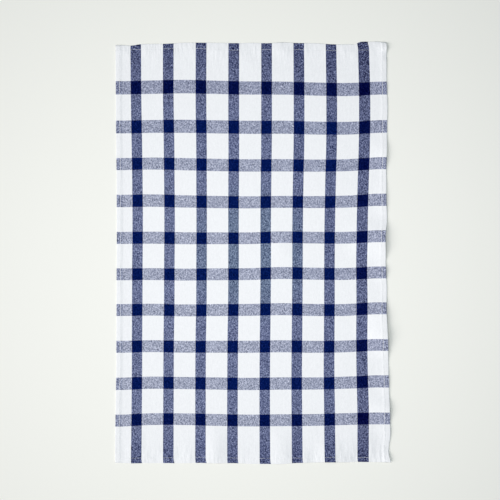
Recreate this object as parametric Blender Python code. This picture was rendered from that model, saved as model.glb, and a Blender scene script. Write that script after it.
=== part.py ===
"""A cotton tea towel lying face up: one woven cloth, its four edges turned under and sewn down as hems.

Metres, +Z up. X runs across the towel and Y along it, and the origin is on the surface that the towel
lies on, under the middle of its outline. Thread coordinates, across and along, say where a point of the
cloth sits in the weave. The cloth isn't stretched quite even, so its threads drift a little from straight
lines, and its edges and a few soft ridges stand off the surface.
"""

import bmesh
import bpy
import numpy as np

MM = 0.001

# Thickness of the single cloth, and of a hem, where the edge is turned under twice.
CLOTH_THICKNESS = 1.0 * MM
HEM_THICKNESS = 2.0 * MM

# Each hem: where its inner edge lies, and how wide the slope down from it is.
LEFT_HEM_WIDTH = 8.0 * MM
RIGHT_HEM_WIDTH = 8.5 * MM
BOTTOM_HEM_LINE = -339.3 * MM
TOP_HEM_LINE = 338.5 * MM
HEM_SLOPE = 1.6 * MM

# The outer fold of a hem is rounded.
FOLD_RADIUS = 0.6 * MM
FOLD_STEPS = 2

# Spacing of the grid lines that carry the shape between the hems.
SPACING_ACROSS = 13.0 * MM
SPACING_ALONG = 14.0 * MM

COTTON_COLOUR = (0.85, 0.88, 0.92, 1.0)
COTTON_ROUGHNESS = 0.92


def table(columns, rows):
    """The columns of a table by name, each an array in metres from numbers in millimetres."""
    return dict(zip(columns.split(), np.array(rows, float).T * MM))


# The folds of the two side hems, for stations along the towel, in thread coordinates.
SIDE_FOLDS = table(
    "along left right",
    [
        (-349.0, -225.5, 230.5),
        (-334.0, -225.5, 227.0),
        (-255.0, -226.0, 227.0),
        (-130.0, -226.0, 227.0),
        (-5.0, -226.6, 224.6),
        (120.0, -226.5, 222.6),
        (180.0, -226.0, 221.4),
        (300.0, -225.4, 222.0),
        (349.0, -225.2, 223.2),
    ],
)

# The folds of the two end hems, for stations across the towel, in thread coordinates. The top hem is
# turned a little slantwise, so it grows wider to the right.
END_FOLDS = table(
    "across bottom top",
    [
        (-226.0, -347.2, 344.6),
        (-168.0, -350.2, 345.1),
        (-113.0, -350.8, 345.6),
        (-58.0, -349.6, 348.4),
        (0.0, -349.3, 349.8),
        (50.0, -349.6, 350.5),
        (104.0, -348.4, 350.9),
        (159.0, -348.9, 351.9),
        (226.0, -349.2, 353.6),
    ],
)

# How far the lengthwise threads stray to the right, at the left edge, the middle and the right edge.
DRIFT_ACROSS = table(
    "along left middle right",
    [
        (-340.0, -0.5, -1.2, 0.6),
        (-260.0, 0.5, -1.6, 0.7),
        (-200.0, 1.0, -1.4, -1.1),
        (-140.0, 0.8, -0.9, -2.3),
        (-80.0, 0.8, -0.1, -2.0),
        (-20.0, 1.0, 0.2, -2.8),
        (45.0, 1.7, 0.2, -1.9),
        (120.0, 1.0, 0.7, 0.5),
        (180.0, -0.1, 1.1, 2.5),
        (250.0, -1.5, 1.0, 3.2),
        (343.0, -2.6, 0.9, 0.6),
    ],
)

# How far the crosswise threads stray towards the top, at the bottom edge, the middle and the top edge.
DRIFT_ALONG = table(
    "across bottom middle top",
    [
        (-213.0, -2.0, -0.1, 0.7),
        (-168.0, 1.0, 0.3, 2.4),
        (-113.0, 1.7, -0.7, 4.0),
        (-58.0, 0.2, -0.8, 1.6),
        (-3.0, -1.1, -0.8, -0.3),
        (50.0, -1.1, 0.3, -1.2),
        (104.0, -0.7, -0.6, -2.4),
        (159.0, 0.9, -0.2, -3.1),
        (207.0, 1.1, 2.6, -1.7),
    ],
)

# Where the cloth stands off the surface: the middle of each swell, how far it reaches to each side of
# that middle, and its height. The first eleven lift the right edge, the next six are ridges that run in
# from the bottom hem, and the last four are soft swells elsewhere.
SWELLS = table(
    "across along reach_across reach_along height",
    [
        (226.0, 344.0, 24.0, 16.0, 1.8),
        (226.0, 278.0, 18.0, 13.0, 0.8),
        (226.0, 163.0, 26.0, 24.0, 1.5),
        (226.0, 78.0, 30.0, 36.0, 1.3),
        (226.0, 23.0, 62.0, 32.0, 4.9),
        (226.0, -33.0, 30.0, 17.0, 2.6),
        (226.0, -116.0, 44.0, 46.0, 4.0),
        (226.0, -146.0, 34.0, 26.0, 4.3),
        (226.0, -215.0, 26.0, 30.0, 1.2),
        (226.0, -268.0, 40.0, 26.0, 4.4),
        (222.0, -342.0, 20.0, 18.0, 2.6),
        (189.0, -334.0, 21.0, 48.0, 1.5),
        (157.0, -336.0, 24.0, 40.0, 1.9),
        (90.0, -342.0, 17.0, 26.0, 1.2),
        (50.0, -332.0, 27.0, 52.0, 1.9),
        (-60.0, -328.0, 29.0, 62.0, 2.5),
        (-106.0, -338.0, 20.0, 34.0, 0.9),
        (48.0, 6.0, 30.0, 34.0, 1.1),
        (48.0, 342.0, 18.0, 24.0, 0.8),
        (-10.0, 318.0, 34.0, 20.0, 0.6),
        (-196.0, -328.0, 22.0, 44.0, 0.9),
    ],
)


def smooth(stations, values, at):
    """Values between the stations, on a cubic curve through all of them, and level past both ends."""
    slopes = np.gradient(values, stations)
    first = np.clip(np.searchsorted(stations, at) - 1, 0, len(stations) - 2)
    second = first + 1
    step = stations[second] - stations[first]
    q = np.clip((at - stations[first]) / step, 0.0, 1.0)
    return (
        (1 + 2 * q) * (1 - q) ** 2 * values[first]
        + q * (1 - q) ** 2 * step * slopes[first]
        + q**2 * (3 - 2 * q) * values[second]
        + q**2 * (q - 1) * step * slopes[second]
    )


def drift(stations, low, middle, high, at, side):
    """The drift on a parabola through its values at side -1, 0 and +1, each read at its station."""
    low, middle, high = (smooth(stations, column, at) for column in (low, middle, high))
    return middle + (high - low) / 2 * side + ((high + low) / 2 - middle) * side**2


def place(across, along):
    """Where the threads across and along cross, seen from above."""
    half_width = SIDE_FOLDS["right"].mean()
    half_length = END_FOLDS["top"].mean()
    x = across + drift(*DRIFT_ACROSS.values(), along, across / half_width)
    y = along + drift(*DRIFT_ALONG.values(), across, along / half_length)
    return x, y


def lift(across, along):
    """Height of the underside: each swell is h (1 - p^2)^2 (1 - q^2)^2 within its reach, and 0 past it."""
    height = np.zeros_like(across)
    for middle_x, middle_y, reach_x, reach_y, top in zip(*SWELLS.values()):
        p = np.clip(np.abs(across - middle_x) / reach_x, 0.0, 1.0)
        q = np.clip(np.abs(along - middle_y) / reach_y, 0.0, 1.0)
        height += top * (1 - p**2) ** 2 * (1 - q**2) ** 2
    return height


def rail_weights(span, spacing):
    """How each grid line mixes six rails: fold, hem edge, slope's foot, and the same from the far side."""
    cells = round(span / spacing)
    on_hem = [[1, 0, 0, 0, 0, 0], [0.5, 0.5, 0, 0, 0, 0], [0, 1, 0, 0, 0, 0]]
    between = [[0, 0, 1 - k / cells, k / cells, 0, 0] for k in range(cells + 1)]
    far_hem = [row[::-1] for row in on_hem[::-1]]
    return np.array(on_hem + between + far_hem)


def side_rails(along):
    """The six lengthwise rails, in thread coordinates across."""
    left = smooth(SIDE_FOLDS["along"], SIDE_FOLDS["left"], along)
    right = smooth(SIDE_FOLDS["along"], SIDE_FOLDS["right"], along)
    left_edge = left + LEFT_HEM_WIDTH
    right_edge = right - RIGHT_HEM_WIDTH
    return np.array([left, left_edge, left_edge + HEM_SLOPE, right_edge - HEM_SLOPE, right_edge, right])


def end_rails(across):
    """The six crosswise rails, in thread coordinates along."""
    bottom = smooth(END_FOLDS["across"], END_FOLDS["bottom"], across)
    top = smooth(END_FOLDS["across"], END_FOLDS["top"], across)
    low = np.full_like(across, BOTTOM_HEM_LINE)
    high = np.full_like(across, TOP_HEM_LINE)
    return np.array([bottom, low, low + HEM_SLOPE, high - HEM_SLOPE, high, top])


def cloth_grid():
    """Places of the underside's points, [column, row, xyz], and the cloth's thickness at each."""
    level = np.zeros(1)
    columns = rail_weights(np.ptp(side_rails(level)[[2, 3]]), SPACING_ACROSS)
    rows = rail_weights(TOP_HEM_LINE - BOTTOM_HEM_LINE, SPACING_ALONG)
    even_along = (rows @ end_rails(level))[:, 0]
    across = columns @ side_rails(even_along)
    even_across = (columns @ side_rails(level))[:, 0]
    along = (rows @ end_rails(even_across)).T
    x, y = place(across, along)
    points = np.stack([x, y, lift(across, along)], axis=-1)
    middle = (points.min(axis=(0, 1)) + points.max(axis=(0, 1))) / 2
    points[..., :2] -= middle[:2]
    column_in_hem = columns[:, [0, 1, 4, 5]].any(axis=1)
    row_in_hem = rows[:, [0, 1, 4, 5]].any(axis=1)
    in_hem = column_in_hem[:, None] | row_in_hem[None, :]
    return points, np.where(in_hem, HEM_THICKNESS, CLOTH_THICKNESS)


def cloth_mesh():
    """The underside as a grid, raised by the cloth's thickness, with its outer folds rounded."""
    points, thickness = cloth_grid()
    columns, rows = thickness.shape
    mesh = bpy.data.meshes.new("towel_cloth")
    shape = bmesh.new()
    tall = shape.verts.layers.float.new("thickness")
    bmesh.ops.create_grid(shape, x_segments=columns - 1, y_segments=rows - 1, size=1.0)
    for vert in shape.verts:
        column = round((vert.co.x + 1) / 2 * (columns - 1))
        row = round((vert.co.y + 1) / 2 * (rows - 1))
        vert.co = points[column, row]
        vert[tall] = thickness[column, row]
    raised = bmesh.ops.extrude_face_region(shape, geom=shape.faces[:])["geom"]
    for vert in raised:
        if isinstance(vert, bmesh.types.BMVert):
            vert.co.z += vert[tall]
    bmesh.ops.recalc_face_normals(shape, faces=shape.faces[:])
    bmesh.ops.bevel(
        shape,
        geom=[edge for edge in shape.edges if is_rim(edge)],
        offset=FOLD_RADIUS,
        segments=FOLD_STEPS,
        profile=0.5,
        affect="EDGES",
        clamp_overlap=True,
    )
    shape.to_mesh(mesh)
    shape.free()
    return mesh


def is_rim(edge):
    """Whether an edge runs between the upright rim and the top or the underside."""
    upright = [abs(face.normal.z) < 0.5 for face in edge.link_faces]
    return upright[0] != upright[1]


def cotton():
    """Bleached cotton, matt."""
    material = bpy.data.materials.new("woven_cotton")
    material.use_nodes = True
    shader = material.node_tree.nodes["Principled BSDF"]
    shader.inputs["Base Color"].default_value = COTTON_COLOUR
    shader.inputs["Roughness"].default_value = COTTON_ROUGHNESS
    shader.inputs["Metallic"].default_value = 0.0
    return material


def main():
    for thing in list(bpy.context.scene.objects):
        bpy.data.objects.remove(thing, do_unlink=True)
    cloth = bpy.data.objects.new("towel_cloth", cloth_mesh())
    cloth.data.materials.append(cotton())
    bpy.context.scene.collection.objects.link(cloth)
    for face in cloth.data.polygons:
        face.use_smooth = True
    cloth.data.set_sharp_from_angle(angle=np.radians(40.0))


main()
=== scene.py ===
"""The looks of a checked cotton tea towel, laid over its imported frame: the woven cloth with its hems turned
under twice, the sewing that holds them, and the pale surface, light and camera of the picture.

Metres, +Z up, in the frame's own axes: X across the towel, Y along it, and the surface at height 0. Thread
coordinates, across and along, say where a point of the cloth sits in the weave. They run on past a fold
into the cloth that is turned under, so the checks do too.
"""

import bpy
import numpy as np
from bpy.props import FloatProperty, FloatVectorProperty, PointerProperty
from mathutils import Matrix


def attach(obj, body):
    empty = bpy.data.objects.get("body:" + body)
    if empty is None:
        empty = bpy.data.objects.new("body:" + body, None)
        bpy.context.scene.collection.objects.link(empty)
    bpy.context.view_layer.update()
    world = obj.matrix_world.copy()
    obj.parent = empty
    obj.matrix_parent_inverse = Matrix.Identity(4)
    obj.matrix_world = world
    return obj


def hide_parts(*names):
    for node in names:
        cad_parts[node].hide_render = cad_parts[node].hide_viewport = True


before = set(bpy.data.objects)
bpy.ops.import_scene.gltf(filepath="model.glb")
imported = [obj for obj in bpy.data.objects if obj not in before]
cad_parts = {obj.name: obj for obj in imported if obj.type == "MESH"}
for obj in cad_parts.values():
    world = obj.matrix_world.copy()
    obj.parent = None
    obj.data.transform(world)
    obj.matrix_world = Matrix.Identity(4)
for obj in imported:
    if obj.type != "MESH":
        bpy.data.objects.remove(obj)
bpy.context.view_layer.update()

bl_info = {
    "name": "Checked tea towel",
    "version": (1, 0, 0),
    "blender": (4, 5, 0),
    "location": "View3D > Sidebar > Tea towel",
    "description": "Woven checked cotton with turned and sewn hems, on a pale surface",
    "category": "Object",
}

MM = 0.001
BODY = "root"
CLOTH_NODE = "towel_cloth"

# The hems. The sides are turned under first, then the ends, over them.
LEFT_HEM_WIDTH = 8.0 * MM

# The cloth inside a hem drops by a share of the hem's extra height over the slope beside it, and sinks
# down the rest over a longer reach.
LEFT_DROP = 0.55
RIGHT_DROP = 0.30
END_DROP = 0.15
HEM_SLOPE = 3.0 * MM
HEM_REACH = 24.0 * MM

# How far inside its inner edge a hem is sewn down, and the strip round that seam with a finer grid.
SEAM_INSET = 1.5 * MM
SEAM_STRIP = 3.0 * MM

# Share of a hem's width that its raw edge, inside it, reaches back.
RAW_EDGE_REACH = 0.88

# Steps of the grid over one hem, from its inner edge on the face round to the raw edge inside it: seam
# strip, rest of the face, outer fold, rest of the under layer, seam strip, inner fold, raw edge.
HEM_STEPS = (6, 4, 6, 4, 6, 4, 4)
SLOPE_STEPS = 3
STEPS_ACROSS = 128
STEPS_ALONG = 132

# The share by which the grid's lines lie closer than evenly at the hems, and wider halfway between them.
CLOSER_AT_HEMS = 0.6

# The middle of the outline, which the frame puts over its origin.
OUTLINE_MIDDLE = (1.684 * MM, 0.516 * MM)

# How far a seam's pull into its hem reaches, and how far past an end hem's inner edge its flare grows to the
# table's shift.
PINCH_REACH = 0.7 * MM
FLARE_REACH = 11 * MM


def table(columns, rows, unit=MM):
    """The columns of a table by name, each an array, in metres where its numbers are in millimetres."""
    names = columns.split()
    return dict(zip(names, np.array(rows.split(), float).reshape(-1, len(names)).T * unit))


# The folds of the two side hems, for stations along the towel, in thread coordinates, and the width of the
# right one.
SIDE_FOLDS = table("along left right right_width", """
    -349 -226.3 231.4 9.7
    -337 -226.4 227.9 9.7
    -329 -226.5 227.4 9.7
    -308 -226.7 229.8 9.7
    -279 -226.8 229 10.8
    -247 -226.8 228.5 9.3
    -217 -226.5 228.7 9.6
    -186 -226.3 229.1 9.4
    -156 -226.1 229 10.1
    -125 -225.9 227.9 9.7
    -94 -225.8 226.1 9.2
    -64 -225.8 227.3 8.8
    -34 -225.9 226.5 8.6
    -5 -225.9 225.9 8.7
    26 -226.1 224.7 8.6
    55 -226.2 227 8.5
    86 -226.2 224.8 9.3
    117 -226 224.1 8.8
    147 -225.8 222.9 8.4
    178 -225.5 223.1 8.8
    211 -225.2 222.5 9.6
    243 -224.9 223.3 9.3
    276 -224.7 222.3 9.2
    308 -224.6 222.9 8.6
    331 -224.5 223.5 8.2
    349 -224.4 224.4 8.2
""")

# The folds of the two end hems, for stations across the towel, in thread coordinates. The top hem is
# turned a little slantwise, so it grows wider to the right.
END_FOLDS = table("across bottom top", """
    -226 -347.2 345
    -213 -347.6 345.2
    -200 -349 344
    -183 -350 345.7
    -168 -350.9 345.8
    -138 -351.4 345.1
    -113 -351.6 346.4
    -84 -350.3 347.4
    -58 -350.2 348.6
    -30 -349.3 348.8
    0 -350.2 350.3
    24 -350.2 350
    50 -350.4 351.7
    77 -348.8 351.2
    104 -348.3 351.6
    131 -348.4 350.4
    159 -349.3 350.6
    173 -348.9 350.8
    180 -349 353.6
    196 -349.1 354
    214 -349.2 353.4
    226 -349.2 351.8
""")

# The inner edges of the two end hems, in the same way.
END_LINES = table("across bottom top", """
    -226 -339.3 335.7
    -191 -339.3 335.7
    -138 -340.8 335.1
    -84 -339.3 336.2
    -30 -338.8 335.7
    23 -339.3 337.8
    77 -338.6 338.5
    131 -338.6 338.5
    185 -339.7 338.5
    226 -339.3 338.5
""")

# How far the threads stray sideways right at the end folds, past the seams of those hems.
END_FLARE = table("across bottom top", """
    -226 0 0
    -200 0.2 0.2
    -183 1.3 0
    -147 0.5 0
    -129 1.7 0
    -93 0.8 0
    -75 1.8 0
    -39 0.5 0
    -22 1.2 0
    15 0.5 0
    32 1.2 0
    68 0.5 0
    86 1.2 0
    122 1.1 0
    140 1.5 -0.2
    176 1.7 -1.3
    194 0.7 -1.6
    226 0 -0.4
""")

# How far the lengthwise threads stray to the right, at five evenly spaced places from the left edge to the
# right one.
DRIFT_ACROSS = table("along left left_half middle right_half right", """
    -340 -0.9 -0.9 -1.4 -0.8 0.6
    -260 0.2 -0.8 -1.6 -1.5 1.1
    -200 0.9 -0.7 -1.4 -2.1 -0.9
    -140 0.8 -0.3 -1 -1.7 -2.3
    -80 0.8 0.7 -0.2 -1.3 -1.8
    -20 1.1 0.8 0.2 -1.1 -2.9
    45 1.6 1.2 0 -0.7 -1.8
    120 1.1 0.8 0.5 0.5 0.4
    180 0 0.5 1 2 2.3
    250 -1.2 -0.6 1.1 2.3 3.1
    343 -2.3 -0.5 1.2 1.4 0.6
""")

# How far the crosswise threads stray towards the top, at seven evenly spaced places from the bottom edge to
# the top one.
DRIFT_ALONG = table("across bottom second third middle fifth sixth top", """
    -213 -2.1 -1.1 -0.4 -0.7 1 -0.1 0.9
    -168 0.9 0.8 0.2 -0.4 1.8 0.8 2.4
    -113 1.5 0.4 -1 -1.1 0.4 1.5 3.8
    -58 0.1 -0.5 -0.5 -0.8 -1 0.6 1.5
    -3 -1 -1.4 -0.3 -0.6 -1.7 -0.2 -0.3
    50 -0.9 -0.7 0.7 1.3 -1.3 -0.1 -1.1
    104 -0.5 -0.5 -0.6 0.4 -1.6 -1.7 -2.3
    159 1 1 -0.3 0 -0.5 -2.2 -3.1
    207 1 3 2.6 2.3 2.6 0.4 -1.8
""")

# Where the cloth stands off the surface: the middle of each swell, how far it reaches to each side of
# that middle, and its height. The first lift the right edge, those after them run in from the bottom hem
# as ridges, and the last are soft swells, pleats and a groove, whose height is negative.
SWELLS = table("across along reach_across reach_along height", """
    230 344 30 10 2.1
    226 318 20 16 0.5
    226 278 18 13 0.8
    226 162 40 33 3.4
    226 90 30 36 1.7
    226 23 74 35 6.3
    226 0 52 19 2.9
    226 -33 28 15 3
    226 -116 58 46 4.8
    226 -148 42 28 5.7
    226 -170 30 14 1.4
    226 -215 26 30 1.2
    226 -264 50 26 4.3
    226 -298 24 18 1.3
    232 -345 34 15 1.9
    192 -321 20 33 0.9
    166 -330 13 40 0.6
    135 -344 38 42 3.2
    90 -344 17 26 1.7
    50 -332 27 52 1.9
    -60 -328 29 62 2.8
    -106 -338 20 34 0.9
    48 6 30 34 1.1
    48 342 18 24 0.8
    -10 318 34 20 0.6
    -196 -328 22 44 0.9
    217.3 344 3.4 26 0.44
    217 300 3.4 46 0.12
    220.4 -336 3 28 0.24
    212.9 -338 3 32 0.24
    216.2 -338 3 34 -0.34
""")

# Fine puckers of the hems, drawn up by their sewing: the length of each wave, how much it leans, where it
# starts and its height.
HEM_PUCKERS = table("length lean start height", """
    9.7 2.1 1.3 0.10
    14.9 -3.4 4.1 0.18
    23.3 5.2 9.7 0.26
    37.1 -6 2.9 0.30
""")

# The blue stripes that run along the towel and the blue bands that run across it, in thread coordinates.
STRIPES = table("middle width", """
    -191.3 17.45
    -138 17.6
    -84.2 17.6
    -30.6 17.75
    23.4 17.65
    76.9 17.7
    130.8 17.8
    185.3 18.6
""")
BANDS = table("middle width", """
    -277.5 19.7
    -216.7 20.4
    -155.5 19.9
    -94.4 19.9
    -34.7 19.9
    25.5 19.7
    85.9 20.3
    147.2 20.3
    209.7 21.6
    274.8 22
""")


def length_setting(name, description, default, low, high):
    """A setting that is a length, given here in millimetres."""
    return FloatProperty(
        name=name, description=description, default=default * MM, min=low * MM, max=high * MM, unit="LENGTH"
    )


def share_setting(name, description, default, low=0.0):
    """A setting that is a share, up to 1."""
    return FloatProperty(
        name=name, description=description, default=default, min=low, max=1.0, subtype="FACTOR"
    )


def colour_setting(name, description, default):
    """A setting that is a colour."""
    return FloatVectorProperty(
        name=name, description=description, default=default, min=0.0, max=1.0, subtype="COLOR"
    )


class TowelCloth(bpy.types.PropertyGroup):
    """Sizes of the cloth."""

    layer: length_setting("Layer", "Height that one layer of cloth takes up in a hem", 0.42, 0.2, 0.7)
    thickness: length_setting("Thickness", "Thickness of the cloth itself", 0.36, 0.1, 0.6)
    pressed_ends: share_setting("Pressed ends", "Share of its height that a hem at an end keeps", 0.48, 0.4)
    pressed_corners: share_setting(
        "Pressed corners", "Share of that height that a corner of nine layers keeps", 0.85, 0.4
    )
    pinch: length_setting("Pinch", "How deep a seam pulls into each side of a hem", 0.16, 0.0, 0.3)


class TowelWeave(bpy.types.PropertyGroup):
    """Yarns and colours of the weave."""

    pitch: length_setting("Yarn pitch", "Distance from one yarn to the next", 0.80, 0.3, 2.0)
    white: colour_setting("White", "Colour of the bleached yarn", (0.786, 0.803, 0.823))
    navy: colour_setting("Navy", "Colour where dyed yarn crosses dyed yarn", (0.0, 0.0062, 0.069))
    # Painted shade: the crossings' navy drawn darker by the ends and the right edge, most of all in the upper
    # right corner.
    shaded_navy: colour_setting(
        "Deep navy", "The same by the ends and the right edge, most of all in the upper right corner",
        (0.0, 0.0012, 0.0366),
    )
    blue: colour_setting(
        "Blue", "Light that passes from white yarn through dyed yarn beside it", (0.055, 0.22, 0.81)
    )
    middle_blue: colour_setting(
        "Middle blue", "The same in the stripes at the middle of the towel", (0.0, 0.36, 0.72)
    )
    outer_blue: colour_setting("Outer blue", "The same by the ends and the right edge", (0.055, 0.22, 1.0))
    spots: share_setting("Spots", "How much dyed cloth differs from one crossing of yarns to the next", 0.12)
    grain: length_setting(
        "Grain", "Size of the stretches where the spun yarn is thicker or thinner", 1.8, 0.5, 10.0
    )
    mottle: FloatProperty(
        name="Mottle", description="How much those stretches darken the dyed cloth",
        default=0.645, min=0.0, max=1.5,
    )
    streak: share_setting("Streak", "How much fine lengthwise streaks dull the cloth", 0.05)
    uneven_share: share_setting(
        "Uneven share", "How much the share of blue grows where the dyed cloth darkens", 0.24
    )
    crinkle: length_setting(
        "Crinkle", "Height of the fine crinkles, which are strongest by the end hems", 0.8, 0.0, 3.0
    )
    stripe_share: share_setting(
        "Blue in stripes", "Share of blue that shows where only the lengthwise yarn is dyed", 0.847
    )
    band_share: share_setting(
        "Blue in bands", "Share of blue that shows where only the crosswise yarn is dyed", 0.616
    )


class TowelSewing(bpy.types.PropertyGroup):
    """Sizes of the sewing."""

    stitch: length_setting("Stitch", "Distance from one stitch to the next", 2.9, 1.0, 6.0)
    side_thread: length_setting("Side thread", "Width of the thread in the side hems", 0.80, 0.1, 1.0)
    end_thread: length_setting("End thread", "Width of the thread in the end hems", 0.34, 0.1, 1.0)
    colour: colour_setting("Thread", "Colour of the sewing thread", (0.82, 0.84, 0.86))


class TowelStage(bpy.types.PropertyGroup):
    """The surface, the light and the camera."""

    surface: colour_setting("Surface", "Colour of the surface under the towel", (0.804, 0.812, 0.768))
    side_light: FloatProperty(
        name="Side light", description="Strength of the light from the left",
        default=682.0, min=0.0, subtype="POWER",
    )
    top_light: FloatProperty(
        name="Top light", description="Strength of the soft light from above",
        default=8.18, min=0.0, subtype="POWER",
    )
    room_light: FloatProperty(
        name="Room light", description="Strength of the light from all round",
        default=0.182, min=0.0,
    )
    view_width: FloatProperty(
        name="View width", description="Width of the surface that the picture takes in",
        default=0.8325, min=0.1, unit="LENGTH",
    )


def cubic(q, low, high, rise_low, rise_high):
    """The cubic curve from low at q = 0 to high at q = 1, with these slopes at its two ends."""
    return (
        (1 + 2 * q) * (1 - q) ** 2 * low
        + q * (1 - q) ** 2 * rise_low
        + q**2 * (3 - 2 * q) * high
        + q**2 * (q - 1) * rise_high
    )


def smooth(stations, values, at):
    """Values between the stations, on a cubic curve through all of them, and level past both ends."""
    slopes = np.gradient(values, stations)
    first = np.clip(np.searchsorted(stations, at) - 1, 0, len(stations) - 2)
    second = first + 1
    step = stations[second] - stations[first]
    q = np.clip((at - stations[first]) / step, 0.0, 1.0)
    return cubic(q, values[first], values[second], step * slopes[first], step * slopes[second])


def read(rows, at):
    """The other columns of a table, on curves through their values, at places along its first column."""
    stations, *columns = rows.values()
    return [smooth(stations, column, at) for column in columns]


def drift(rows, at, side):
    """The drift on a cubic curve through the table's columns, evenly spaced from side -1 to 1, each read at
    its station.
    """
    values = np.stack(read(rows, at))
    slopes = np.gradient(values, axis=0)
    q = np.clip((side + 1) / 2, 0.0, 1.0) * (len(values) - 1)
    first = np.minimum(q.astype(int), len(values) - 2)
    low, high, rise_low, rise_high = (
        np.take_along_axis(part, first[None] + step, axis=0)[0]
        for part in (values, slopes)
        for step in (0, 1)
    )
    return cubic(q - first, low, high, rise_low, rise_high)


def end_flare(across, along):
    """The table's shift right at an end fold, growing with the third power of the way there from the seam."""
    bottom, top = read(END_LINES, across)
    past = np.where(along < 0.0, bottom - along, along - top) / FLARE_REACH
    return np.where(along < 0.0, *read(END_FLARE, across)) * np.clip(past, 0.0, 1.1) ** 3


def place(across, along):
    """Where the threads across and along cross, seen from above."""
    half_width = SIDE_FOLDS["right"].mean()
    half_length = END_FOLDS["top"].mean()
    x = across + drift(DRIFT_ACROSS, along, across / half_width) + end_flare(across, along)
    y = along + drift(DRIFT_ALONG, across, along / half_length)
    return x - OUTLINE_MIDDLE[0], y - OUTLINE_MIDDLE[1]


def beside(inside):
    """How near a hem a place this far inside it is: 1 on the hem, falling evenly to 0 over its slope."""
    return np.clip(1 - inside / HEM_SLOPE, 0.0, 1.0)


def raised(inside, drop):
    """Share of a hem's extra height this far inside it: d a^2 + (1 - d) b^2, where d is the drop, and a and b
    fall from 1 to 0 over the slope and over the reach.
    """
    sinking = np.clip(1 - inside / HEM_REACH, 0.0, 1.0)
    return drop * beside(inside) ** 2 + (1 - drop) * sinking**2


def side_hems(along):
    """The outer folds of the left and right hems, in thread coordinates across, and their widths."""
    left, right, right_width = read(SIDE_FOLDS, along)
    return (left, right), (np.full_like(left, LEFT_HEM_WIDTH), right_width)


def end_hems(across):
    """The outer folds of the bottom and top hems, in thread coordinates along, and their widths."""
    (bottom, top), (bottom_line, top_line) = read(END_FOLDS, across), read(END_LINES, across)
    return (bottom, top), (bottom_line - bottom, top - top_line)


def turned_under(past, stack, depth, width):
    """Where cloth lies that is turned under twice: how far in from the hem's outer fold, and how deep.

    past is how far a point is along the cloth from the start of the outer fold, stack the thickness of
    what is folded, depth the point's depth in it, and width the hem's. The outer fold turns half round a
    centre 1.5 stacks down, the under layer runs in, the inner fold turns half round a centre 2 stacks
    down, and the raw edge runs back out between the face and the under layer.
    """
    outer, inner = 1.5 * stack, width - stack
    under = np.pi * stack
    turn = under + inner - outer
    raw = turn + np.pi * stack / 2
    swing = np.clip(past / stack, 0.0, np.pi)
    curl = np.clip((past - turn) / (stack / 2), 0.0, np.pi)
    inward = (
        outer
        - np.minimum(past, 0.0)
        - (1.5 * stack - depth) * np.sin(swing)
        + np.clip(past - under, 0.0, inner - outer)
        + (stack - depth) * np.sin(curl)
        - np.maximum(past - raw, 0.0)
    )
    deep = 1.5 * stack - (1.5 * stack - depth) * np.cos(swing) + (stack - depth) * (np.cos(curl) - 1)
    return inward, deep


def turn_hems(at, folds, widths, stack, depth):
    """Cloth turned under at both its edges: its place in that direction, its depth, and how far inside the
    nearer hem's inner edge it lies.
    """
    low, high = folds
    at_low = at < 0.0
    past = np.where(at_low, low + 1.5 * stack - at, at - high + 1.5 * stack)
    width = np.where(at_low, *widths)
    inward, deep = turned_under(past, stack, depth, width)
    return np.where(at_low, low + inward, high - inward), deep, inward - width


def fold_sides(across, along, layer):
    """The cloth with its side hems turned under: place across, depth, height there, and hem share.

    Its height is 3 layers over a hem, and sinks to 1 inside it.
    """
    s, deep, inside = turn_hems(across, *side_hems(along), layer, layer / 2)
    drop = np.where(across < 0.0, LEFT_DROP, RIGHT_DROP)
    return s, deep, layer * (1 + 2 * raised(inside, drop)), beside(inside)


def fold_ends(along, across, stack, depth, kept=1.0):
    """The same for the end hems, turned under over the side ones and pressed to the share of height kept."""
    t, deep, inside = turn_hems(along, *end_hems(across), stack, depth)
    return t, deep, stack * (1 + (3 * kept - 1) * raised(inside, END_DROP)), beside(inside)


def seam_pinch(across, along):
    """How strongly the nearest seam draws the hem together: exp(-(d / reach)^2) at a distance d."""
    away = []
    for at, (folds, widths) in ((across, side_hems(along)), (along, end_hems(across))):
        away.append(np.abs(at - folds[0] - widths[0] + SEAM_INSET))
        away.append(np.abs(folds[1] - widths[1] + SEAM_INSET - at))
    return np.exp(-((np.minimum.reduce(away) / PINCH_REACH) ** 2))


def lift(across, along):
    """Height of the underside: each swell is h (1 - p^2)^2 (1 - q^2)^2 within its reach, and 0 past it."""
    height = np.zeros_like(across)
    for middle_x, middle_y, reach_x, reach_y, top in zip(*SWELLS.values()):
        p = np.clip(np.abs(across - middle_x) / reach_x, 0.0, 1.0)
        q = np.clip(np.abs(along - middle_y) / reach_y, 0.0, 1.0)
        height += top * (1 - p**2) ** 2 * (1 - q**2) ** 2
    return height


def puckers(across, along):
    """Height of the fine puckers: leaning waves, h (1 + sin(2 pi run / length)) / 2. They are strongest by
    the seams, and fade as exp(-(d / reach)^2) with the distance d from there.
    """
    (left, right), (bottom, top) = side_hems(along)[0], end_hems(across)[0]
    from_side = np.minimum(across - left, right - across)
    from_end = np.minimum(along - bottom, top - along)
    by_side, by_end = np.zeros_like(across), np.zeros_like(across)
    lean_over, end_middle, end_reach = 10 * MM, 14 * MM, 13 * MM
    side_share, side_reach = 0.45, 8 * MM
    for length, lean, start, height in zip(*HEM_PUCKERS.values()):
        run_end = across + lean * from_end / lean_over + start
        run_side = along + lean * from_side / lean_over - start
        by_end += height / 2 * (1 + np.sin(2 * np.pi * run_end / length))
        by_side += height / 2 * (1 + np.sin(2 * np.pi * run_side / length))
    near_end = np.exp(-(((from_end - end_middle) / end_reach) ** 2))
    near_side = side_share * np.exp(-((from_side / side_reach) ** 2))
    return by_end * near_end + by_side * near_side


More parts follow.
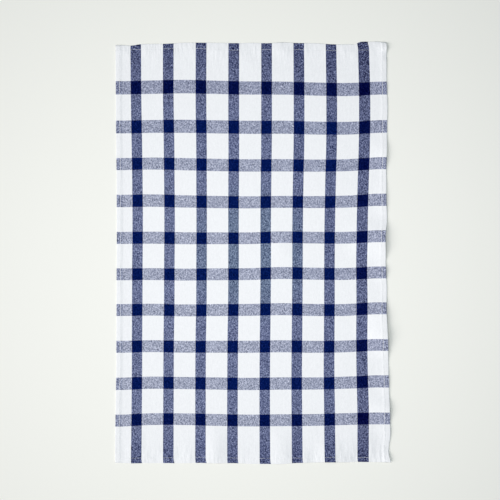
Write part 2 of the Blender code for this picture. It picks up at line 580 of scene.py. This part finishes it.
def on_the_towel(across, along, sizes):
    """Where points of the cloth lie once it is hemmed, as places [.., xyz], how much of a hem each is in, and
    the share of its height that the cloth keeps there.
    """
    layer = sizes.layer
    rough_along = fold_ends(along, across, layer, layer / 2)[0]
    s, depth, stack, in_side_hem = fold_sides(across, rough_along, layer)
    kept = sizes.pressed_ends * (1 - (1 - sizes.pressed_corners) * in_side_hem)
    t, deep, top, in_end_hem = fold_ends(along, s, stack, depth, kept)
    pressed = 1 - (1 - kept) * in_end_hem
    pinch = sizes.pinch * seam_pinch(s, t) * np.maximum(in_side_hem, in_end_hem)
    above = top - pressed * deep
    height = lift(s, t) + puckers(s, t) + pinch + above * (1 - 2 * pinch / top)
    x, y = place(s, t)
    return np.stack([x, y, height], axis=-1), np.maximum(in_side_hem, in_end_hem), pressed


def hem_distances(stack, width):
    """How far past the start of the outer fold each line over a hem lies, [line, ..]. The lines are counted
    in the hem's seven stretches, from 0 to 7.
    """
    inner_edge = 1.5 * stack - width
    under = np.pi * stack
    turn = under + width - 2.5 * stack
    raw = turn + np.pi * stack / 2
    end = raw + RAW_EDGE_REACH * (width - 2.5 * stack)
    zero = np.zeros_like(stack)
    ends = np.stack([inner_edge, inner_edge + SEAM_STRIP, zero, under, turn - SEAM_STRIP, turn, raw, end])
    parts = [number + np.arange(steps) / steps for number, steps in enumerate(HEM_STEPS)]
    stations = np.append(np.concatenate(parts), len(HEM_STEPS))
    first = np.minimum(stations.astype(int), len(HEM_STEPS) - 1)
    share = (stations - first).reshape((-1,) + (1,) * stack.ndim)
    return ends[first] * (1 - share) + ends[first + 1] * share


def between_hems(steps):
    """Shares of the way from the foot of one hem's slope to the other's, closer together at both ends."""
    q = np.arange(steps + 1) / steps
    return q - CLOSER_AT_HEMS * np.sin(2 * np.pi * q) / (2 * np.pi)


def lines_over(folds, widths, stack, steps):
    """Thread coordinates of all the grid's lines over the cloth, [line, ..], from raw edge to raw edge."""
    low = folds[0] + 1.5 * stack - hem_distances(stack, widths[0])[::-1]
    high = folds[1] - 1.5 * stack + hem_distances(stack, widths[1])
    foot_low = low[-1] + HEM_SLOPE
    foot_high = high[0] - HEM_SLOPE
    share = between_hems(steps).reshape((-1,) + (1,) * stack.ndim)
    between = foot_low * (1 - share) + foot_high * share
    down = (np.arange(1, SLOPE_STEPS) / SLOPE_STEPS).reshape((-1,) + (1,) * stack.ndim)
    low_slope = low[-1] + HEM_SLOPE * down
    high_slope = foot_high + HEM_SLOPE * down
    return np.concatenate([low, low_slope, between, high_slope, high])


def cloth_threads(sizes):
    """The thread coordinates of every point of the grid, across and along, each [column, row]."""
    layer = np.array([sizes.layer])
    rows = lines_over(*end_hems(np.zeros(1)), layer, STEPS_ALONG)[:, 0]
    rough_along = fold_ends(rows, np.zeros_like(rows), sizes.layer, sizes.layer / 2)[0]
    single = np.full_like(rough_along, sizes.layer)
    across = lines_over(*side_hems(rough_along), single, STEPS_ACROSS)
    s, _, stack, _ = fold_sides(across, rough_along[None, :], sizes.layer)
    s, stack = s[:, len(rows) // 2], stack[:, len(rows) // 2]
    return across, lines_over(*end_hems(s), stack, STEPS_ALONG).T


def above_the_surface(points):
    """The points [.., xyz] with none lower than 0.02 mm, as the towel's weight presses them."""
    return np.concatenate([points[..., :2], np.maximum(points[..., 2:], 0.02 * MM)], axis=-1)


def facing(points):
    """Unit normals of a grid of points [column, row, xyz], on its face side: the cross of its two slopes."""
    normal = np.cross(np.gradient(points, axis=0), np.gradient(points, axis=1))
    return normal / np.linalg.norm(normal, axis=-1, keepdims=True)


def mesh_of(name, points, faces):
    """A mesh of points [n, xyz] and faces, a list of arrays [m, corners], smooth all over."""
    mesh = bpy.data.meshes.new(name)
    counts = np.concatenate([np.full(len(part), part.shape[1]) for part in faces])
    corners = np.concatenate([part.ravel() for part in faces])
    mesh.vertices.add(len(points))
    mesh.vertices.foreach_set("co", points.astype(np.float32).ravel())
    mesh.loops.add(len(corners))
    mesh.loops.foreach_set("vertex_index", corners.astype(np.int32))
    mesh.polygons.add(len(counts))
    mesh.polygons.foreach_set("loop_start", (np.cumsum(counts) - counts).astype(np.int32))
    mesh.update(calc_edges=True)
    mesh.validate()
    mesh.shade_smooth()
    return mesh


def add_map(mesh, name, places):
    """A UV map from the places [corner, 2] of the mesh's corners."""
    mesh.uv_layers.new(name=name, do_init=False).uv.foreach_set("vector", places.astype(np.float32).ravel())


def cloth_mesh(sizes):
    """The hemmed cloth as a closed skin: the grid moved half the thickness to each side, and its rim.

    The map "threads" holds the thread coordinates in metres. The map "OFBake" lays the face out on the
    left two thirds of the square and the back, drawn narrower, on the rest, each as it was before it
    was hemmed. The attribute "in_hem" says how near a hem each point is.
    """
    across, along = cloth_threads(sizes)
    points, in_hem, pressed = on_the_towel(across, along, sizes)
    out = facing(points) * (sizes.thickness / 2 * pressed)[..., None]
    columns, rows = across.shape
    count = columns * rows
    number = np.arange(count).reshape(columns, rows)
    face = [number[:-1, :-1], number[1:, :-1], number[1:, 1:], number[:-1, 1:]]
    face = np.stack(face, axis=-1).reshape(-1, 4)
    rim = np.concatenate([number[:, 0], number[-1, 1:], number[-2::-1, -1], number[0, -2:0:-1]])
    after = np.roll(rim, -1)
    edge = np.stack([rim, rim + count, after + count, after], axis=-1)
    skin = [face, face[:, ::-1] + count, edge]
    skins = above_the_surface(np.stack([points + out, points - out]))
    mesh = mesh_of("towel_weave", skins.reshape(-1, 3), skin)
    corners = np.concatenate([part.ravel() for part in skin])
    threads = np.stack([across, along], axis=-1).reshape(-1, 2)
    add_map(mesh, "threads", threads[corners % count])
    spread = (threads - threads.min(0)) / np.ptp(threads, axis=0)
    margin, face_width, back_from, back_width, height, rim_width = 0.008, 0.630, 0.660, 0.332, 0.984, 0.004
    front = margin + spread * (face_width, height)
    back = (back_from, margin) + spread * (back_width, height)
    round_it = front + np.sign(spread - 0.5) * rim_width
    on_rim = np.arange(len(corners)) >= 2 * face.size
    on_skins, on_edge = (np.concatenate([front, other])[corners] for other in (back, round_it))
    laid = np.where(on_rim[:, None], on_edge, on_skins)
    add_map(mesh, "OFBake", laid)
    hem = mesh.attributes.new("in_hem", "FLOAT", "POINT")
    hem.data.foreach_set("value", np.tile(in_hem.ravel(), 2).astype(np.float32))
    return mesh


def link(name, mesh, material):
    """A new object of this mesh, in the scene, wearing this material."""
    piece = bpy.data.objects.new(name, mesh)
    mesh.materials.append(material)
    bpy.context.scene.collection.objects.link(piece)
    return piece


class Value:
    """A number that changes over the surface: the output of a node. Arithmetic with it adds Math nodes."""

    def __init__(self, socket):
        self.socket = socket

    def __add__(self, other):
        return reckon("ADD", self, other)

    def __sub__(self, other):
        return reckon("SUBTRACT", self, other)

    def __rsub__(self, other):
        return reckon("SUBTRACT", other, self)

    def __mul__(self, other):
        return reckon("MULTIPLY", self, other)

    def __truediv__(self, other):
        return reckon("DIVIDE", self, other)

    def __rtruediv__(self, other):
        return reckon("DIVIDE", other, self)

    def __pow__(self, other):
        return reckon("POWER", self, other)


def feed(socket, source):
    """Link this input to a value or a node's output, or else set it to a number or a colour."""
    source = source.socket if isinstance(source, Value) else source
    if isinstance(source, bpy.types.NodeSocket):
        socket.id_data.links.new(source, socket)
    else:
        socket.default_value = source


def add(tree, kind, inputs=(), **settings):
    """A new node of this kind, with its settings and what its inputs are fed."""
    node = tree.nodes.new(kind)
    for name, value in settings.items():
        setattr(node, name, value)
    for name, source in dict(inputs).items():
        feed(node.inputs[name], source)
    return node


def values_of(tree, kind, inputs=(), **settings):
    """The outputs of a new node by name, as values."""
    return {socket.name: Value(socket) for socket in add(tree, kind, inputs, **settings).outputs}


def reckon(operation, *terms):
    """The outcome of a Math node on values and numbers."""
    tree = next(term.socket.id_data for term in terms if isinstance(term, Value))
    return values_of(tree, "ShaderNodeMath", enumerate(terms), operation=operation)["Value"]


def rise(value, start, end, low=0.0, high=1.0):
    """low up to start, high from end, and a smooth rise between."""
    span = {"Value": value, "From Min": start, "From Max": end, "To Min": low, "To Max": high}
    tree = value.socket.id_data
    return values_of(tree, "ShaderNodeMapRange", span, interpolation_type="SMOOTHSTEP")["Result"]


def between(tree, factor, first, second):
    """The colour that share of the way from the first to the second, colours or other nodes' outputs."""
    ends = (end if isinstance(end, bpy.types.NodeSocket) else (*end, 1.0) for end in (first, second))
    inputs = {"Factor": factor, **dict(zip("AB", ends))}
    return add(tree, "ShaderNodeMix", inputs, data_type="RGBA").outputs["Result"]


def vectors(tree, operation, inputs):
    """The vector that a Vector Math node makes of its inputs."""
    return add(tree, "ShaderNodeVectorMath", inputs, operation=operation).outputs["Vector"]


def group(name, inputs, outputs):
    """A new shader node group with these named sockets: its tree, its inputs' node and its outputs' node."""
    tree = bpy.data.node_groups.new(name, "ShaderNodeTree")
    for title, kind, value in inputs:
        socket = tree.interface.new_socket(name=title, in_out="INPUT", socket_type=kind)
        if value is not None:
            socket.default_value = value
    for title in outputs:
        tree.interface.new_socket(name=title, in_out="OUTPUT", socket_type="NodeSocketFloat")
    return tree, tree.nodes.new("NodeGroupInput").outputs, tree.nodes.new("NodeGroupOutput").inputs


def plain_weave():
    """Plain weave: over sin(pi x) sin(pi y) > 0 the lengthwise yarn lies on top, elsewhere the crosswise one.

    x and y count yarns. Relief is the square root of |sin(pi x) sin(pi y)|, the round of each yarn's top, and
    Spot a random number from -1 to 1 for each crossing of two yarns.
    """
    tree, given, out = group(
        "plain_weave",
        [("Threads", "NodeSocketVector", None), ("Pitch", "NodeSocketFloat", 0.8 * MM)],
        ("Lengthwise Up", "Relief", "Spot"),
    )
    wander, overlap = 0.5, 0.35
    at = {"Vector": given["Threads"], "Scale": 700.0, "Detail": 1.0}
    shift = values_of(tree, "ShaderNodeTexNoise", at)["Fac"] * wander - wander / 2
    parts = values_of(tree, "ShaderNodeSeparateXYZ", {0: given["Threads"]})
    pitch = Value(given["Pitch"])
    sines = [reckon("SINE", (parts[part] / pitch + shift) * np.pi) for part in "XY"]
    both = sines[0] * sines[1]
    feed(out["Lengthwise Up"], rise(both, -overlap, overlap))
    feed(out["Relief"], reckon("ABSOLUTE", both) ** 0.5)
    counted = vectors(tree, "DIVIDE", {0: given["Threads"], 1: pitch})
    cell = {"Vector": vectors(tree, "FLOOR", {0: counted})}
    chance = values_of(tree, "ShaderNodeTexWhiteNoise", cell, noise_dimensions="3D")["Value"]
    feed(out["Spot"], chance * 2.0 - 1.0)
    return tree


def uneven_yarn():
    """How uneven the yarns lie: Mottle is fine, and a little finer across than along, Streak is drawn out
    lengthwise, and Crinkle is a height that is drawn out further.
    """
    tree, given, out = group(
        "uneven_yarn",
        [("Threads", "NodeSocketVector", None), ("Grain", "NodeSocketFloat", 2.0 * MM)],
        ("Mottle", "Streak", "Crinkle"),
    )

    def noise(turn, stretch, scale, detail):
        """Noise on a lattice that is turned off the threads, so that the two make no pattern together."""
        turned = {"Vector": given["Threads"], "Rotation": turn, "Scale": stretch}
        at = add(tree, "ShaderNodeMapping", turned).outputs["Vector"]
        return values_of(tree, "ShaderNodeTexNoise", {"Vector": at, "Scale": scale, "Detail": detail})["Fac"]

    scale, spread = 1.0 / Value(given["Grain"]), 1.4
    fine = noise((0.9, 0.6, 0.5), (1.3, 1.0, 1.0), scale, 0.0)
    less_fine = noise((0.3, 1.1, 1.2), (0.962, 0.74, 0.74), scale, 0.0)
    feed(out["Mottle"], (fine + less_fine) * spread - spread)
    feed(out["Streak"], noise((0.5, 0.4, 0.0), (1.0, 0.3, 1.0), scale, 1.0) * 2.0 - 1.0)
    feed(out["Crinkle"], noise((0.7, 0.0, 0.12), (1.0, 0.24, 1.0), 230.0, 1.0))
    return tree


def dyed_yarns(coordinate, rows):
    """1 where the yarns at this thread coordinate are dyed, within half a width of a middle, 0 elsewhere."""
    dyed = [reckon("COMPARE", coordinate, middle, width / 2) for middle, width in zip(*rows.values())]
    return sum(dyed[1:], dyed[0])


def new_material(name, base, roughness, sheen):
    """A material and the tree and Principled shader in it."""
    material = bpy.data.materials.new(name)
    material.use_nodes = True
    material.diffuse_color = (*base, 1.0)
    tree = material.node_tree
    shader = tree.nodes["Principled BSDF"]
    shader.inputs["Base Color"].default_value = (*base, 1.0)
    shader.inputs["Roughness"].default_value = roughness
    shader.inputs["Specular IOR Level"].default_value = 0.01
    shader.inputs["Sheen Weight"].default_value = sheen
    shader.inputs["Sheen Roughness"].default_value = 0.6
    return material, tree, shader


# How much the mottle darkens cloth of dyed lengthwise yarn, of dyed crosswise yarn and of both, how much
# more of it shows in a hem, and how much it lightens the navy of a crossing.
MOTTLE_DARKENS = (0.93, 1.05, 1.4)
MOTTLE_IN_HEMS = 0.3
MOTTLE_IN_NAVY = 0.014

# How much more or less blue shows where the dyed yarn is the one on top.
TOP_YARN = 0.06

# How much closer cloth is duller, how much its spots dull it, how much of the outer colours comes in by the
# ends or the right edge, the darker navy there being painted shade, and the share of their height that the
# crinkles keep away from the ends.
CLOSE_DULLS = 0.12
SPOTS_DULL = 0.03
OUTER_SHARE = 0.68
CRINKLE_ELSEWHERE = 0.25


def woven_cotton(weave, yarn, colours):
    """Yarn-dyed plain weave. The share of navy that shows is 1 where both yarns are dyed, less where one is.

    It shifts a little with the yarn on top and with the yarn's unevenness, and grows where the cloth is
    drawn closer: towards the top, the bottom and the right, in the hems, and more so in the bands. Closer
    cloth is a little duller, and the strip past the last stripe is darker, painted shade. Most of the
    unevenness darkens dyed cloth without a change of its colour. At a share s of navy the colour is
    white (1 - s) + navy s + blue s^3 (1 - s), the last for light that comes through the dyed yarn. That navy
    and blue turn to a darker navy, painted shade, and the outer blue towards the ends and the right edge,
    and the blue to the middle blue in the stripes round the middle. Each rise below gives its places in
    metres, and from what to what.
    """
    material, tree, shader = new_material("woven_cotton_checks", colours.white, 0.92, 0.0)
    threads = add(tree, "ShaderNodeUVMap", uv_map="threads").outputs["UV"]
    parts = values_of(tree, "ShaderNodeSeparateXYZ", {0: threads})
    across, along = parts["X"], parts["Y"]
    woven = values_of(tree, "ShaderNodeGroup", {"Threads": threads, "Pitch": colours.pitch}, node_tree=weave)
    spun = values_of(tree, "ShaderNodeGroup", {"Threads": threads, "Grain": colours.grain}, node_tree=yarn)
    hem = values_of(tree, "ShaderNodeAttribute", attribute_name="in_hem")["Fac"]

    stripe, band = dyed_yarns(across, STRIPES), dyed_yarns(along, BANDS)
    both = stripe * band
    only_stripe, only_band = stripe - both, band - both
    uneven = spun["Mottle"] * colours.mottle + woven["Spot"] * colours.spots
    uneven = uneven * (hem * MOTTLE_IN_HEMS + 1.0)
    at_top, at_bottom = rise(along, 0.255, 0.345), rise(along, -0.345, -0.285, 1.0, 0.0)
    close = at_top * 0.045 + at_bottom * 0.05 + hem * 0.01
    close = close + rise(across, -0.04, 0.21, 0.0, 0.03) + rise(along, 0.05, 0.30, 0.0, 0.016)
    close = close + only_band * rise(along, 0.12, 0.28, 0.0, 0.022)
    close = close + only_band * hem * rise(across, -0.01, 0.01, 0.10, 0.038)

    share = both + only_stripe * colours.stripe_share + only_band * colours.band_share
    share = share + (woven["Lengthwise Up"] * 2.0 - 1.0) * (only_stripe - only_band) * TOP_YARN
    share = share + (only_stripe + only_band) * (uneven * colours.uneven_share + close)
    share = share + uneven * both * MOTTLE_IN_NAVY
    share = values_of(tree, "ShaderNodeClamp", {"Value": share})["Result"]

    # Painted shade: towards the ends and the right edge the crossings' navy turns darker; the blue there
    # turns to the outer blue.
    by_ends = reckon("MAXIMUM", rise(along, 0.21, 0.28), rise(along, -0.28, -0.24, 0.5, 0.0))
    outer = (by_ends + rise(across, 0.13, 0.19)) * OUTER_SHARE
    from_middle = values_of(tree, "ShaderNodeVectorMath", {0: threads}, operation="LENGTH")["Value"]
    inner = stripe * rise(from_middle, 0.05, 0.14, 1.0, 0.0)
    blend = between(tree, share, colours.white, between(tree, outer, colours.navy, colours.shaded_navy))
    blue = between(tree, outer, between(tree, inner, colours.blue, colours.middle_blue), colours.outer_blue)
    through = vectors(tree, "SCALE", {0: blue, "Scale": share**3.0 * (1.0 - share)})
    lit = vectors(tree, "ADD", {0: blend, 1: through})

    in_stripes, in_bands, in_crossings = MOTTLE_DARKENS
    darker = only_stripe * in_stripes + only_band * in_bands + both * in_crossings
    # Painted shade: the strip past the last stripe, towards the right edge, is darkened by up to 0.018.
    painted_shade_past_stripes = rise(across, 0.195, 0.201, 0.0, 0.018)
    dull = close * CLOSE_DULLS + painted_shade_past_stripes + uneven * darker
    dull = dull + woven["Spot"] * SPOTS_DULL + spun["Streak"] * colours.streak
    feed(shader.inputs["Base Color"], vectors(tree, "SCALE", {0: lit, "Scale": 1.0 - dull}))

    near_end = (at_top * rise(across, 0.05, 0.12, 1.0, 0.7) + at_bottom) ** 3.0
    crinkles = spun["Crinkle"] * (near_end * (1.0 - CRINKLE_ELSEWHERE) + CRINKLE_ELSEWHERE)
    relief = {"Height": woven["Relief"], "Strength": 0.35, "Distance": 0.10 * MM}
    woven_normal = add(tree, "ShaderNodeBump", relief).outputs["Normal"]
    crinkled = {"Height": crinkles, "Distance": colours.crinkle, "Normal": woven_normal}
    feed(shader.inputs["Normal"], add(tree, "ShaderNodeBump", crinkled).outputs["Normal"])
    return material


def sewing_thread(yarn, colour):
    """Twisted white thread: a faint mottle, and a fine wave for its twist."""
    material, tree, shader = new_material("sewing_thread", colour, 0.75, 0.1)
    at = add(tree, "ShaderNodeTexCoord").outputs["Object"]
    spun = values_of(tree, "ShaderNodeGroup", {"Threads": at, "Grain": 1.0 * MM}, node_tree=yarn)
    tint = {0: colour, "Scale": spun["Mottle"] * 0.06 + 0.97}
    feed(shader.inputs["Base Color"], vectors(tree, "SCALE", tint))
    waves = {"Vector": at, "Scale": 900.0, "Distortion": 0.4}
    twist = values_of(tree, "ShaderNodeTexWave", waves, bands_direction="DIAGONAL")["Fac"]
    bump = {"Height": twist, "Strength": 0.3, "Distance": 0.04 * MM}
    feed(shader.inputs["Normal"], add(tree, "ShaderNodeBump", bump).outputs["Normal"])
    return material


def node_groups():
    """The two shader node groups, made once."""
    found = bpy.data.node_groups
    return found.get("plain_weave") or plain_weave(), found.get("uneven_yarn") or uneven_yarn()


class TOWEL_OT_cloth(bpy.types.Operator):
    """Make the hemmed, woven cloth"""

    bl_idname = "towel.cloth"
    bl_label = "Make the cloth"

    def execute(self, context):
        scene = context.scene
        weave, yarn = node_groups()
        material = woven_cotton(weave, yarn, scene.towel_weave)
        cloth = link("towel_weave", cloth_mesh(scene.towel_cloth), material)
        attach(cloth, BODY)
        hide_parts(CLOTH_NODE)
        return {"FINISHED"}


# Where the seams start and end, laid off along the towel for the side hems and across it for the end hems,
# on the face and on the underside.
SIDE_SEAMS = {"face": (-0.3585, 0.3605), "under": (-0.341, 0.340)}
END_SEAMS = {"face": (-0.2255, 0.2235), "under": (-0.2245, 0.2225)}

# How a seam wanders from its line: the reach, length and start of each wave. How uneven the stitches are and
# how far apart, as shares of one.
SEAM_WAVES = ((0.22 * MM, 17 * MM, 0.0), (0.15 * MM, 5.3 * MM, 2.0))
STITCH_UNEVEN = 0.06
STITCH_GAP = 0.03


def seam(kind, layer, pitch, start, end):
    """Thread coordinates of the two ends of each stitch in a seam, [stitch, end], across and along.

    A side seam is laid off along the towel and an end seam across it, on the face or on the under layer,
    whose points lie past the outer fold by half its turn and the way back in. Lengths vary a little.
    """
    count = int(round((end - start) / pitch))
    random = np.random.default_rng(len(kind) + count)
    uneven = random.uniform(-STITCH_UNEVEN, STITCH_UNEVEN, count + 1)
    knots = start + (end - start) * (np.arange(count + 1) + uneven) / count
    gap = STITCH_GAP * pitch
    run = np.stack([knots[:-1] + gap, knots[1:] - gap], axis=-1)
    wander = sum(reach * np.sin(run / length + shift) for reach, length, shift in SEAM_WAVES)
    where, face = kind
    at_low, at_side = where in ("left", "bottom"), where in ("left", "right")
    if at_side:
        stack = layer
        hems = side_hems(fold_ends(run, np.zeros_like(run), layer, layer / 2)[0])
    else:
        near_that_end = np.full_like(run, -0.3 if at_low else 0.3)
        s, _, stack, _ = fold_sides(run, near_that_end, layer)
        hems = end_hems(s)
    fold, width = (pair[0 if at_low else 1] for pair in hems)
    inward = width - SEAM_INSET + wander
    if face == "under":
        inward = 1.5 * stack - (np.pi * stack + inward - 1.5 * stack)
    cross = fold + inward if at_low else fold - inward
    return (cross, run) if at_side else (run, cross)


# The rings of a stitch: how far along it each lies, how high above the cloth its middle is, in widths of
# the thread, and how full it is. The sides of a ring, its height as a share of its width, and the step over
# which the cloth's slope is taken under it.
STITCH_RINGS = table("share rise size", """
    0 -0.45 0.60
    0.11 0.13 0.95
    0.50 0.26 1.00
    0.89 0.13 0.95
    1 -0.45 0.60
""", unit=1.0)
STITCH_SIDES = 6
STITCH_FLATNESS = 0.62
SLOPE_READ_OVER = 0.15 * MM


def stitches(ends_across, ends_along, thread, sizes):
    """Points [stitch, ring, side, xyz] of stitches: flattened thread that rises from the cloth and dips back.

    Each ring is an oval round the line of the stitch, a little above the cloth's face there, and the
    first and last are sunk into the cloth.
    """
    share, rise_by, size = STITCH_RINGS.values()
    across = ends_across[:, :1] * (1 - share) + ends_across[:, 1:] * share
    along = ends_along[:, :1] * (1 - share) + ends_along[:, 1:] * share
    at, _, pressed = on_the_towel(across, along, sizes)
    to_sides = [
        [on_the_towel(across + way * aside, along + way * on, sizes)[0] for way in (1, -1)]
        for aside, on in ((SLOPE_READ_OVER, 0.0), (0.0, SLOPE_READ_OVER))
    ]
    up = np.cross(*(ahead - behind for ahead, behind in to_sides))
    up /= np.linalg.norm(up, axis=-1, keepdims=True)
    run = at[:, -1:] - at[:, :1]
    run = run / np.linalg.norm(run, axis=-1, keepdims=True)
    side = np.cross(run, up)
    side /= np.linalg.norm(side, axis=-1, keepdims=True)
    middle = at + up * (sizes.thickness / 2 * pressed + rise_by * thread)[..., None]
    angle = 2 * np.pi * np.arange(STITCH_SIDES) / STITCH_SIDES
    oval_side = thread / 2 * size[:, None] * np.cos(angle)
    oval_up = STITCH_FLATNESS * thread / 2 * size[:, None] * np.sin(angle)
    return (
        middle[:, :, None, :]
        + side[:, :, None, :] * oval_side[None, :, :, None]
        + up[:, :, None, :] * oval_up[None, :, :, None]
    )


def stitch_mesh(name, seams, thread, pitch, sizes):
    """All the stitches of these seams as one mesh: rings joined by quads, and closed at both ends."""
    runs = [seam(kind, sizes.layer, pitch, start, end) for kind, start, end in seams]
    across = np.concatenate([run[0] for run in runs])
    along = np.concatenate([run[1] for run in runs])
    points = above_the_surface(stitches(across, along, thread, sizes))
    count, rings, sides = points.shape[:3]
    number = np.arange(count * rings * sides).reshape(count, rings, sides)
    after = np.roll(number, -1, axis=2)
    wall = np.stack([number[:, :-1], number[:, 1:], after[:, 1:], after[:, :-1]], axis=-1).reshape(-1, 4)
    first, last = number[:, 0], number[:, -1, ::-1]
    return mesh_of(name, points.reshape(-1, 3), [wall, first, last])


class TOWEL_OT_stitches(bpy.types.Operator):
    """Sew the hems down, on the face and on the underside"""

    bl_idname = "towel.stitches"
    bl_label = "Sew the hems"

    def execute(self, context):
        sewing, sizes = context.scene.towel_sewing, context.scene.towel_cloth
        thread = sewing_thread(node_groups()[1], sewing.colour)
        for name, hems, spans, width in (
            ("side_stitches", ("left", "right"), SIDE_SEAMS, sewing.side_thread),
            ("end_stitches", ("bottom", "top"), END_SEAMS, sewing.end_thread),
        ):
            seams = [((hem, face), *span) for face, span in spans.items() for hem in hems]
            piece = link(name, stitch_mesh(name, seams, width, sewing.stitch, sizes), thread)
            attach(piece, BODY)
        return {"FINISHED"}


def soft_light(name, place_at, aim, size, power, colour):
    """A square area light at a place, turned towards a point, and out of the camera's sight."""
    light = bpy.data.lights.new(name, "AREA")
    light.shape = "SQUARE"
    light.size = size
    light.energy = power
    light.color = colour
    lamp = bpy.data.objects.new(name, light)
    lamp.location = place_at
    x, y, z = np.subtract(aim, place_at)
    lamp.rotation_euler = (np.arctan2(np.hypot(x, y), -z), 0.0, np.arctan2(y, x) - np.pi / 2)
    lamp.visible_camera = False
    bpy.context.scene.collection.objects.link(lamp)


class TOWEL_OT_stage(bpy.types.Operator):
    """Lay out the surface, the light and the camera"""

    bl_idname = "towel.stage"
    bl_label = "Set the stage"

    def execute(self, context):
        scene, settings = context.scene, context.scene.towel_stage
        half = 6.0
        corners = half * np.array([(-1, -1, 0), (1, -1, 0), (1, 1, 0), (-1, 1, 0)])
        material = new_material("pale_surface", settings.surface, 0.8, 0.0)[0]
        surface = link("surface", mesh_of("surface", corners, [np.arange(4)[None, :]]), material)
        reach, slope, turn = 8.5, np.radians(34.0), np.radians(20.0)
        level = reach * np.cos(slope)
        soft_light(
            "side_light", (-level * np.cos(turn), -level * np.sin(turn), reach * np.sin(slope)),
            aim=(0.0, 0.0, 0.0), size=6.0, power=settings.side_light, colour=(1.0, 0.94, 0.92),
        )
        soft_light(
            "top_light", (0.0, -0.025, 1.13),
            aim=(0.0, -0.025, 0.0), size=0.7, power=settings.top_light, colour=(1.0, 0.98, 0.98),
        )
        world = bpy.data.worlds.new("room")
        world.use_nodes = True
        room = world.node_tree.nodes["Background"]
        room.inputs["Color"].default_value = (0.62, 0.88, 1.0, 1.0)
        room.inputs["Strength"].default_value = settings.room_light
        scene.world = world
        scene.view_settings.view_transform = "Standard"
        height, sensor = 2.2, 36.0
        lens = bpy.data.cameras.new("camera")
        lens.sensor_width = sensor
        lens.lens = sensor * height / settings.view_width
        lens.clip_end = 100.0
        camera = bpy.data.objects.new("camera", lens)
        over = np.subtract((-2.83 * MM, 4.995 * MM), OUTLINE_MIDDLE)
        camera.location = (*over, height)
        scene.collection.objects.link(camera)
        scene.camera = camera
        return {"FINISHED"}


class TOWEL_PT_panel(bpy.types.Panel):
    """Lists the pieces and their settings"""

    bl_idname = "TOWEL_PT_panel"
    bl_label = "Tea towel"
    bl_space_type = "VIEW_3D"
    bl_region_type = "UI"
    bl_category = "Tea towel"

    def draw(self, context):
        scene = context.scene
        for settings, operator in (
            (scene.towel_cloth, None),
            (scene.towel_weave, TOWEL_OT_cloth),
            (scene.towel_sewing, TOWEL_OT_stitches),
            (scene.towel_stage, TOWEL_OT_stage),
        ):
            box = self.layout.box()
            for name in type(settings).__annotations__:
                box.prop(settings, name)
            if operator:
                box.operator(operator.bl_idname)


SETTINGS = {
    "towel_cloth": TowelCloth,
    "towel_weave": TowelWeave,
    "towel_sewing": TowelSewing,
    "towel_stage": TowelStage,
}
CLASSES = (*SETTINGS.values(), TOWEL_OT_cloth, TOWEL_OT_stitches, TOWEL_OT_stage, TOWEL_PT_panel)


def register():
    """Add the classes, and the settings to each scene."""
    for cls in CLASSES:
        bpy.utils.register_class(cls)
    for name, cls in SETTINGS.items():
        setattr(bpy.types.Scene, name, PointerProperty(type=cls))


def unregister():
    """Take them away again."""
    for name in SETTINGS:
        delattr(bpy.types.Scene, name)
    for cls in reversed(CLASSES):
        bpy.utils.unregister_class(cls)


def main():
    """Make every piece and the stage."""
    register()
    bpy.ops.towel.cloth()
    bpy.ops.towel.stitches()
    bpy.ops.towel.stage()


if __name__ == "__main__":
    main()
